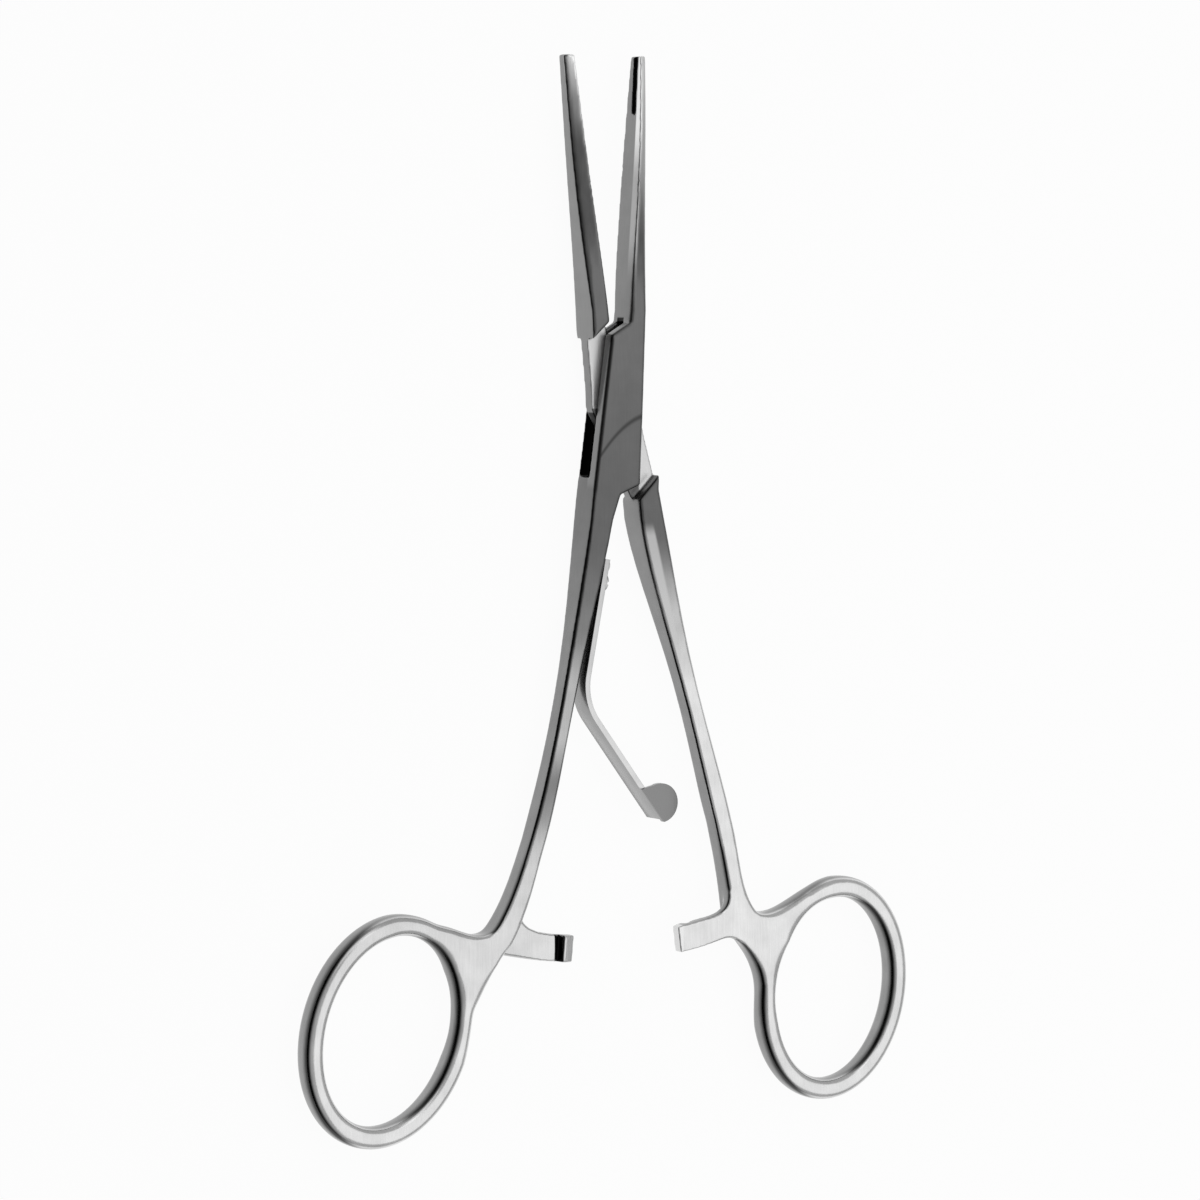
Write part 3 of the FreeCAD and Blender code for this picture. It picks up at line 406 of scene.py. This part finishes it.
class Steel(Shader):
    """Brushed steel whose grey carries painted reflection along the arm and painted shade on the walls, and
    whose edges that face left carry a painted dark reflection where they mirror a dark room.

    Args:
        finish: The finish.
    """

    # Blotches, brushing lines and pores: cells per metre, finer layers and strength
    MIDDLE = 0.5
    BLOTCH_CELLS = 260.0
    BLOTCH_LAYERS = 5.0
    BLOTCH_ROUGH = 0.12
    STREAK_CELLS = 5200.0
    STREAK_STRETCH = (1.0, 0.04, 1.0)
    STREAK_TONE = 0.2
    STREAK_ROUGH = 0.1
    STREAK_HEIGHT = 0.7
    PORE_CELLS = 9000.0
    PORE_HEIGHT = 0.3
    FINE_LAYERS = 2.0
    BUMP = 0.5

    # Ranges of the normal: walls, sharp bevels, round edges of the handles and faces that look left
    WALL_UP = (0.2, 0.6)
    BEVEL_UP = (0.3, 0.5)
    ROUND_UP = (0.05, 0.45)
    ROUND_TOP = (0.7, 0.99)
    LEFT = (0.2, 0.5)

    # Places along Y in millimetres: where the handles' round edges set in, and the end of the painted dark
    # reflection on the bevels
    ROUND_ALONG = (-62.0, -74.0)
    BEVEL_FADE = 3.0

    # Crease over the box, painted as a line of shade: upper end, slope and bow, half width, lower end and
    # grey
    CREASE_TOP = (3.67, -1.6)
    CREASE_FALL = (0.199, 0.0659)
    CREASE_HALF = 0.34
    CREASE_END = -4.6
    CREASE_FADE = 1.0
    CREASE_UP = (0.5, 0.9)
    CREASE_SHADE = 0.06

    def __init__(self, finish: Finish) -> None:
        super().__init__(finish.name)
        self.finish = finish
        self.shader.inputs["Metallic"].default_value = 1.0
        spot = self.places(scale=(1.0 / MM, 1.0 / MM, 1.0 / MM))
        self.across = self.add("ShaderNodeSeparateXYZ", "X", Vector=spot)
        self.along = self.add("ShaderNodeSeparateXYZ", "Y", Vector=spot)
        self.depth = self.add("ShaderNodeSeparateXYZ", "Z", Vector=spot)
        facing = self.add("ShaderNodeNewGeometry", "Normal")
        self.right = self.add("ShaderNodeSeparateXYZ", "X", Vector=facing)
        self.up = self.add("ShaderNodeSeparateXYZ", "Z", Vector=facing)
        self.wall = 1.0 - self.up.size().eased(*self.WALL_UP)
        lines = self.places(finish.grain_turn, self.STREAK_STRETCH)
        self.blotch = self.noise(self.places(), self.BLOTCH_CELLS, self.BLOTCH_LAYERS)
        self.streak = self.noise(lines, self.STREAK_CELLS, self.FINE_LAYERS)
        self.pores = self.noise(self.places(), self.PORE_CELLS, self.FINE_LAYERS)
        self.wire(self.tone(), "Base Color")
        self.wire(self.roughness(), "Roughness")
        self.wire(self.relief(), "Normal")

    def tone(self) -> Wire:
        """The grey with its blotches, its painted reflection along the arm, painted shade on the walls,
        painted dark reflection on the bevels, painted shade of the crease and its marks.

        Returns:
            The grey.
        """
        finish = self.finish
        # Painted reflection along the arm on the faces, and painted shade on the walls
        tone = self.profile(finish.tones).toward(self.profile(finish.walls), self.wall)
        uneven = (self.blotch - self.MIDDLE) * finish.blotches
        uneven = uneven + (self.streak - self.MIDDLE) * self.STREAK_TONE
        tone = tone * (1.0 + uneven)
        # Painted dark reflection on the bevels that face left
        tone = tone.toward(finish.bevel, self.bevels() * finish.bevel_share)
        if finish.crease:
            tone = tone.toward(self.CREASE_SHADE, self.crease())
        for mark in finish.marks:
            tone = tone.toward(mark.tone, self.marked(mark))
        return tone

    def roughness(self) -> Wire:
        """The roughness, from the matte end to the polished one.

        Returns:
            The roughness.
        """
        finish = self.finish
        polish = self.along.eased(finish.matte_y, finish.polished_y)
        rough = polish * (finish.polished - finish.matte) + finish.matte
        rough = rough + (self.blotch - self.MIDDLE) * self.BLOTCH_ROUGH
        return rough + (self.streak - self.MIDDLE) * self.STREAK_ROUGH

    def relief(self) -> Wire:
        """The fine relief of the brushing and its pores.

        Returns:
            The normal.
        """
        height = self.streak * self.STREAK_HEIGHT + self.pores * self.PORE_HEIGHT
        return self.add("ShaderNodeBump", "Normal", Strength=self.BUMP,
                        Distance=self.finish.grain_depth, Height=height)

    def bevels(self) -> Wire:
        """The mask of the painted dark reflection on the edges that face left, sharp on the arms and round
        on the handles.

        Returns:
            The mask.
        """
        finish = self.finish
        sharp = self.up.eased(*self.BEVEL_UP) * (1.0 - self.up.eased(*finish.bevel_up))
        drawn = self.up.eased(*self.ROUND_UP) * (1.0 - self.up.eased(*self.ROUND_TOP))
        tilt = sharp.toward(drawn, self.along.eased(*self.ROUND_ALONG))
        left = (self.right * -1.0).eased(*self.LEFT)
        below = 1.0 - self.along.eased(finish.bevel_end - self.BEVEL_FADE, finish.bevel_end)
        return tilt * left * below

    def profile(self, stops: tuple[tuple[float, float], ...]) -> Wire:
        """A grey that changes along Y.

        Args:
            stops: Places along Y in millimetres with their greys, from the jaws to the rings.

        Returns:
            The grey.
        """
        steps = [self.along.eased(start, end) * (after - before)
                 for (start, before), (end, after) in zip(stops, stops[1:])]
        return sum(steps, stops[0][1])

    def marked(self, mark: Mark) -> Wire:
        """The mask of a mark.

        Args:
            mark: The mark.

        Returns:
            The mask.
        """
        inside = self.within(self.across - self.along * mark.lean, mark.across, mark.soft)
        inside = inside * self.within(self.along, mark.along, mark.fade)
        inside = inside * self.within(self.depth, mark.depth, mark.soft / 2.0) * mark.share
        return inside * (1.0 - self.wall) if mark.flat else inside

    def crease(self) -> Wire:
        """The mask of the painted shade of the crease that runs over the front of the box.

        Returns:
            The mask.
        """
        top_x, top_y = self.CREASE_TOP
        slope, bow = self.CREASE_FALL
        run = top_x - self.across
        curve = top_y - run * slope - run * run * bow
        line = 1.0 - (self.along - curve).size().eased(0.0, self.CREASE_HALF * 2.0)
        line = line * self.across.eased(self.CREASE_END - self.CREASE_FADE, self.CREASE_END)
        return line * self.up.eased(*self.CREASE_UP)

    @staticmethod
    def within(value: Wire, span: tuple[float, float], soft: float) -> Wire:
        """A mask that is 1 inside a range.

        Args:
            value: The value to test.
            span: The range.
            soft: Width of its soft ends.

        Returns:
            The mask.
        """
        low, high = span
        return value.eased(low, low + soft) * (1.0 - value.eased(high - soft, high))


class MeshWork:
    """Mesh edits on one object through the editing tools."""

    # Distance in metres under which points are merged, and how far a pass of smoothing moves a point
    MERGE = 0.002 * MM
    EASE_FACTOR = 0.5

    @staticmethod
    def select(obj: bpy.types.Object) -> None:
        """Makes an object the only selected one.

        Args:
            obj: The object.
        """
        bpy.ops.object.select_all(action="DESELECT")
        obj.hide_set(False)
        obj.select_set(True)
        bpy.context.view_layer.objects.active = obj

    @classmethod
    def copy(cls, node: str, name: str) -> bpy.types.Object:
        """Copies a node's mesh into an object of its own and merges its doubles.

        Args:
            node: The node.
            name: Name of the copy.

        Returns:
            The copy.
        """
        cls.select(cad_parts[node])
        bpy.ops.object.duplicate()
        made = bpy.context.view_layer.objects.active
        made.parent = None
        made.name = name
        made.data.name = name
        for key in list(made.keys()):
            del made[key]
        made.data.materials.clear()
        cls.select(made)
        bpy.ops.object.mode_set(mode="EDIT")
        bpy.ops.mesh.select_all(action="SELECT")
        bpy.ops.mesh.customdata_custom_splitnormals_clear()
        bpy.ops.mesh.remove_doubles(threshold=cls.MERGE)
        bpy.ops.object.mode_set(mode="OBJECT")
        return made

    @classmethod
    def soften(cls, obj: bpy.types.Object, width: float, segments: int, corner: float,
               smooth: float) -> None:
        """Rounds an object's edges and shades it smooth.

        Args:
            obj: The object.
            width: Width of the rounding in metres.
            segments: Segments of the rounding.
            corner: Angle in degrees above which an edge is rounded.
            smooth: Angle in degrees under which an edge is shaded smooth.
        """
        cls.select(obj)
        bevel = obj.modifiers.new("edges", "BEVEL")
        bevel.width = width
        bevel.segments = segments
        bevel.limit_method = "ANGLE"
        bevel.angle_limit = math.radians(corner)
        bevel.use_clamp_overlap = True
        bpy.ops.object.modifier_apply(modifier=bevel.name)
        bpy.ops.object.shade_smooth_by_angle(angle=math.radians(smooth))

    @classmethod
    def resize(cls, obj: bpy.types.Object, scale: tuple[float, float, float], height: float) -> None:
        """Scales an object's mesh about a point on the lock's axis.

        Args:
            obj: The object.
            scale: Scale along each axis.
            height: Height of the point in metres.
        """
        cls.select(obj)
        bpy.ops.object.mode_set(mode="EDIT")
        bpy.ops.mesh.select_all(action="SELECT")
        bpy.ops.transform.resize(value=scale, center_override=(0.0, 0.0, height))
        bpy.ops.object.mode_set(mode="OBJECT")

    @classmethod
    def remesh(cls, obj: bpy.types.Object, grid: float) -> None:
        """Makes an object one closed skin of even cells.

        Args:
            obj: The object.
            grid: Size of the cells in metres.
        """
        cls.select(obj)
        cells = obj.modifiers.new("cells", "REMESH")
        cells.mode = "VOXEL"
        cells.voxel_size = grid
        bpy.ops.object.modifier_apply(modifier=cells.name)

    @classmethod
    def ease(cls, obj: bpy.types.Object, passes: int, group: str = "") -> None:
        """Smooths an object's mesh.

        Args:
            obj: The object.
            passes: Passes of smoothing.
            group: Vertex group that says where and how much, or nothing for all of the mesh.
        """
        cls.select(obj)
        ease = obj.modifiers.new("ease", "SMOOTH")
        ease.factor = cls.EASE_FACTOR
        ease.iterations = passes
        ease.vertex_group = group
        bpy.ops.object.modifier_apply(modifier=ease.name)


@dataclass
class Piece:
    """A visible piece that stands for one node.

    Args:
        node: The node that it replaces.
        name: Name of the piece.
        body: The body that carries it.
        slot: Its material slot. Not used.
        finish: Its finish.
        rounding: Width of its edge rounding in metres.
        segments: Segments of its edge rounding.
        corner: Angle in degrees above which an edge is rounded.
        smooth: Angle in degrees under which an edge is shaded smooth.
    """

    node: str
    name: str
    body: Body
    slot: Slot
    finish: Finish
    rounding: float = 0.06 * MM
    segments: int = 2
    corner: float = 28.0
    smooth: float = 35.0

    def build(self) -> bpy.types.Object:
        """Builds the mesh.

        Returns:
            The object.
        """
        made = MeshWork.copy(self.node, self.name)
        MeshWork.soften(made, self.rounding, self.segments, self.corner, self.smooth)
        return made

    def dress(self, steels: dict[Finish, bpy.types.Material]) -> None:
        """Builds the piece, gives it its material and sets it on its body.

        Args:
            steels: The materials by finish.
        """
        made = self.build()
        made.data.materials.append(steels[self.finish])
        self.mount(made)
        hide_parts(self.node)
        log.info("%s has %d faces", self.name, len(made.data.polygons))

    def mount(self, made: bpy.types.Object) -> None:
        """Sets the piece on its body.

        Args:
            made: The object.
        """
        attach(made, self.body.value)


@dataclass
class ForgedArm(Piece):
    """One forging: the node's shape with its corners drawn round as a forging's are.

    Args:
        grid: Size of the mesh's cells in metres.
        passes: Passes of smoothing over the whole arm.
        fills: Nodes whose ends are ground flush with this one, so that no seam shows.
        fill_growth: Growth of a fill's width, so that no gap is left round it.
        handle_across: Distance from the middle plane over which the handle's blending sets in, in metres.
        handle_along: Places along Y over which the handle's blending sets in, in metres.
        handle_passes: Passes of smoothing over the handle.
        roots: Places along X and Y where a ring runs into its shank or flare, in metres.
        root_reach: Distance from a root over which it is blended, in metres.
        root_fade: Share of that distance over which the blending fades out.
        root_passes: Passes of smoothing at the roots.
    """

    grid: float = 0.21 * MM
    passes: int = 9
    fills: tuple[str, ...] = ()
    fill_growth: float = 1.06
    handle_across: tuple[float, float] = (14.0 * MM, 18.0 * MM)
    handle_along: tuple[float, float] = (-62.0 * MM, -72.0 * MM)
    handle_passes: int = 40
    roots: tuple[tuple[float, float], ...] = ()
    root_reach: float = 8.0 * MM
    root_fade: float = 0.5
    root_passes: int = 260

    def build(self) -> bpy.types.Object:
        """Builds the mesh.

        Returns:
            The object.
        """
        made = MeshWork.copy(self.node, self.name)
        for node in self.fills:
            self.fill(made, node)
        MeshWork.remesh(made, self.grid)
        MeshWork.ease(made, self.passes)
        self.weigh(made, "handle", self.handle_share)
        MeshWork.ease(made, self.handle_passes, "handle")
        self.weigh(made, "roots", self.root_share)
        MeshWork.ease(made, self.root_passes, "roots")
        bpy.ops.object.shade_smooth()
        return made

    def fill(self, made: bpy.types.Object, node: str) -> None:
        """Joins a copy of a node that is ground flush with this one.

        Args:
            made: The object.
            node: The node.
        """
        plug = MeshWork.copy(node, self.name + "_plug")
        MeshWork.resize(plug, (self.fill_growth, self.fill_growth, 1.0), 0.0)
        made.select_set(True)
        bpy.context.view_layer.objects.active = made
        bpy.ops.object.join()

    def weigh(self, made: bpy.types.Object, name: str, share: Callable[[Vector], float]) -> None:
        """Adds a vertex group that says how much each place is smoothed.

        Args:
            made: The object.
            name: Name of the group.
            share: Gives the share from 0 to 1 at a place.
        """
        group = made.vertex_groups.new(name=name)
        for vertex in made.data.vertices:
            weight = share(vertex.co)
            if weight > 0.0:
                group.add([vertex.index], weight, "REPLACE")

    def handle_share(self, place: Vector) -> float:
        """How much shank, web and ring run into each other at a place.

        Args:
            place: The place.

        Returns:
            The share from 0 to 1.
        """
        near, far = self.handle_across
        high, low = self.handle_along
        out = min(1.0, max(0.0, (abs(place.x) - near) / (far - near)))
        down = min(1.0, max(0.0, (high - place.y) / (high - low)))
        return out * down

    def root_share(self, place: Vector) -> float:
        """How much a ring is drawn into its shank or flare at a place.

        Args:
            place: The place.

        Returns:
            The share from 0 to 1.
        """
        near = min(math.hypot(place.x - across, place.y - along) for across, along in self.roots)
        return min(1.0, max(0.0, 1.0 - near / self.root_reach) / self.root_fade)


@dataclass
class Rivet(Piece):
    """The rivet, whose ends the box covers once they are ground flush.

    Args:
        sunk: Share of its length that is left to it under the ground faces.
        middle: Height of its middle in metres.
    """

    sunk: float = 0.97
    middle: float = 2.8 * MM

    def build(self) -> bpy.types.Object:
        """Builds the mesh.

        Returns:
            The object.
        """
        made = MeshWork.copy(self.node, self.name)
        MeshWork.resize(made, (1.0, 1.0, self.sunk), self.middle)
        bpy.ops.object.shade_smooth_by_angle(angle=math.radians(self.smooth))
        return made


@dataclass
class LeafSpring(Piece):
    """The return spring, which bends between the two halves.

    Args:
        held: Place along Y where the strip leaves its seat, in metres. Not used.
        free: Place along Y at which a point would follow the other half wholly, in metres. Not used.
    """

    held: float = -30.0 * MM
    free: float = -95.7 * MM

    def mount(self, made: bpy.types.Object) -> None:
        """Bakes the strip's place into its mesh and sets it on no body.

        Args:
            made: The object.
        """
        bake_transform(made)


@dataclass(frozen=True)
class Lamp:
    """A soft rectangular lamp.

    Args:
        name: Name of the lamp.
        place: Its place in metres.
        aim: The point that it faces.
        size: Its width and height in metres.
        power: Its power in watts.
    """

    name: str
    place: tuple[float, float, float]
    aim: tuple[float, float, float]
    size: tuple[float, float]
    power: float

    def build(self) -> None:
        """Adds the lamp."""
        bpy.ops.object.light_add(type="AREA", location=self.place)
        made = bpy.context.view_layer.objects.active
        made.name = self.name
        made.data.shape = "RECTANGLE"
        made.data.size, made.data.size_y = self.size
        made.data.energy = self.power
        turn = (Vector(self.place) - Vector(self.aim)).to_track_quat("Z", "Y")
        made.rotation_euler = turn.to_euler()


@dataclass(frozen=True)
class Camera:
    """The camera at the photograph's place.

    Args:
        eye: Its place in metres.
        right: Direction of its right.
        up: Direction of its top.
        back: Direction from the part to the camera.
        lens: Focal length in millimetres.
        sensor: Width of the sensor in millimetres.
        near: Nearest distance that is seen, in metres.
        far: Farthest distance that is seen, in metres.
    """

    eye: tuple[float, float, float] = (-0.34967, 0.01678, 0.5573)
    right: tuple[float, float, float] = (0.84759, -0.01072, 0.53054)
    up: tuple[float, float, float] = (0.0469, 0.9974, -0.05478)
    back: tuple[float, float, float] = (-0.52857, 0.07131, 0.84589)
    lens: float = 127.57
    sensor: float = 36.0
    near: float = 0.01
    far: float = 20.0

    def build(self) -> None:
        """Adds the camera."""
        bpy.ops.object.camera_add()
        made = bpy.context.view_layer.objects.active
        turn = Matrix((self.right, self.up, self.back)).transposed()
        made.matrix_world = Matrix.Translation(self.eye) @ turn.to_4x4()
        made.data.lens = self.lens
        made.data.sensor_width = self.sensor
        made.data.clip_start = self.near
        made.data.clip_end = self.far
        bpy.context.scene.camera = made


@dataclass
class Studio:
    """Floor, lights, world and camera.

    Args:
        floor_size: Width of the floor in metres.
        floor_gap: Distance between the part and the floor in metres.
        paper: Grey of the floor.
        paper_rough: Roughness of the floor.
        backdrop: Share of plain white in the floor as the camera and the steel see it.
        room: Grey of the room.
        corner: Grey of the room's dark corner, low on the left.
        corner_left: Range of the direction's X, taken to the left, over which the corner darkens.
        corner_height: Range of the direction's Z over which the corner ends.
        lamps: The lamps.
        camera: The camera.
    """

    floor_size: float = 6.0
    floor_gap: float = 0.3 * MM
    paper: float = 0.86
    paper_rough: float = 0.9
    backdrop: float = 0.95
    room: float = 0.5
    corner: float = 0.012
    corner_left: tuple[float, float] = (0.2, 0.7)
    corner_height: tuple[float, float] = (0.45, 0.75)
    lamps: tuple[Lamp, ...] = (
        Lamp("softbox", (0.42, -0.25, 0.6), (0.42, -0.25, 0.0), (0.9, 1.2), 2.1),
        Lamp("top_fill", (-0.2, 0.9, 1.2), (0.0, 0.0, 0.0), (0.8, 0.8), 1.0),
    )
    camera: Camera = Camera()

    def floor(self) -> None:
        """Lays the pale floor, which the camera and the steel see as plain white."""
        bpy.ops.mesh.primitive_plane_add(size=self.floor_size, location=(0.0, 0.0, -self.floor_gap))
        made = bpy.context.view_layer.objects.active
        made.name = "floor"
        paint = Shader("floor_paper")
        paint.shader.inputs["Base Color"].default_value = (self.paper, self.paper, self.paper, 1.0)
        paint.shader.inputs["Roughness"].default_value = self.paper_rough
        tree = paint.tree
        seen = paint.add("ShaderNodeLightPath", "Is Camera Ray")
        for ray in ("Is Glossy Ray", "Is Transmission Ray"):
            seen = seen + paint.add("ShaderNodeLightPath", ray)
        share = (seen * self.backdrop).at_most(self.backdrop)
        glow = paint.add("ShaderNodeEmission", "Emission", Color=(1.0, 1.0, 1.0, 1.0), Strength=1.0)
        mix = tree.nodes.new("ShaderNodeMixShader")
        tree.links.new(share.socket, mix.inputs["Fac"])
        tree.links.new(paint.shader.outputs[0], mix.inputs[1])
        tree.links.new(glow.socket, mix.inputs[2])
        tree.links.new(mix.outputs[0], tree.nodes["Material Output"].inputs["Surface"])
        made.data.materials.append(paint.material)

    def world(self) -> None:
        """Sets a soft grey room with a dark corner low on the left."""
        world = bpy.data.worlds.new("room")
        bpy.context.scene.world = world
        world.use_nodes = True
        tree = world.node_tree
        coords = tree.nodes.new("ShaderNodeTexCoord")
        parts = tree.nodes.new("ShaderNodeSeparateXYZ")
        tree.links.new(coords.outputs["Generated"], parts.inputs[0])
        left = Wire(tree, parts.outputs["X"]) * -1.0
        height = Wire(tree, parts.outputs["Z"])
        dark = left.eased(*self.corner_left) * (1.0 - height.eased(*self.corner_height))
        tone = dark.mixed((self.room, self.room, self.room), (self.corner, self.corner, self.corner))
        tree.links.new(tone.socket, tree.nodes["Background"].inputs["Color"])

    def build(self) -> None:
        """Builds the studio."""
        self.floor()
        self.world()
        for lamp in self.lamps:
            lamp.build()
        self.camera.build()
        bpy.context.scene.view_settings.view_transform = "Standard"


# Places where a ring runs into its shank or flare
LEFT_ROOTS = ((-33.4 * MM, -78.0 * MM), (-27.7 * MM, -91.5 * MM))
RIGHT_ROOTS = ((25.4 * MM, -91.4 * MM), (32.0 * MM, -78.3 * MM))


@dataclass
class Instrument:
    """The whole instrument.

    Args:
        pieces: Its pieces.
    """

    pieces: tuple[Piece, ...] = (
        ForgedArm("female_arm", "female_arm_steel", Body.FEMALE, Slot.FORGED, FEMALE,
                  fills=("pivot_pin",), roots=LEFT_ROOTS),
        ForgedArm("male_arm", "male_arm_steel", Body.MALE, Slot.FORGED, MALE, roots=RIGHT_ROOTS),
        Rivet("pivot_pin", "rivet_steel", Body.FEMALE, Slot.FORGED, FEMALE, smooth=30.0),
        LeafSpring("leaf_spring", "leaf_spring_steel", Body.FEMALE, Slot.SPRING, SPRING, rounding=0.08 * MM),
        Piece("spring_screw", "spring_screw_steel", Body.FEMALE, Slot.SCREW, SCREW, rounding=0.03 * MM),
        Piece("spring_pin", "spring_pin_steel", Body.FEMALE, Slot.SCREW, SCREW, rounding=0.03 * MM),
    )

    def build(self) -> None:
        """Builds and dresses every piece."""
        steels = {finish: Steel(finish).material for finish in (FEMALE, MALE, SPRING, SCREW)}
        for piece in self.pieces:
            piece.dress(steels)


def main() -> None:
    """Builds the instrument and the studio around it."""
    logging.basicConfig(level=logging.INFO)
    Instrument().build()
    Studio().build()


if __name__ == "__main__":
    main()
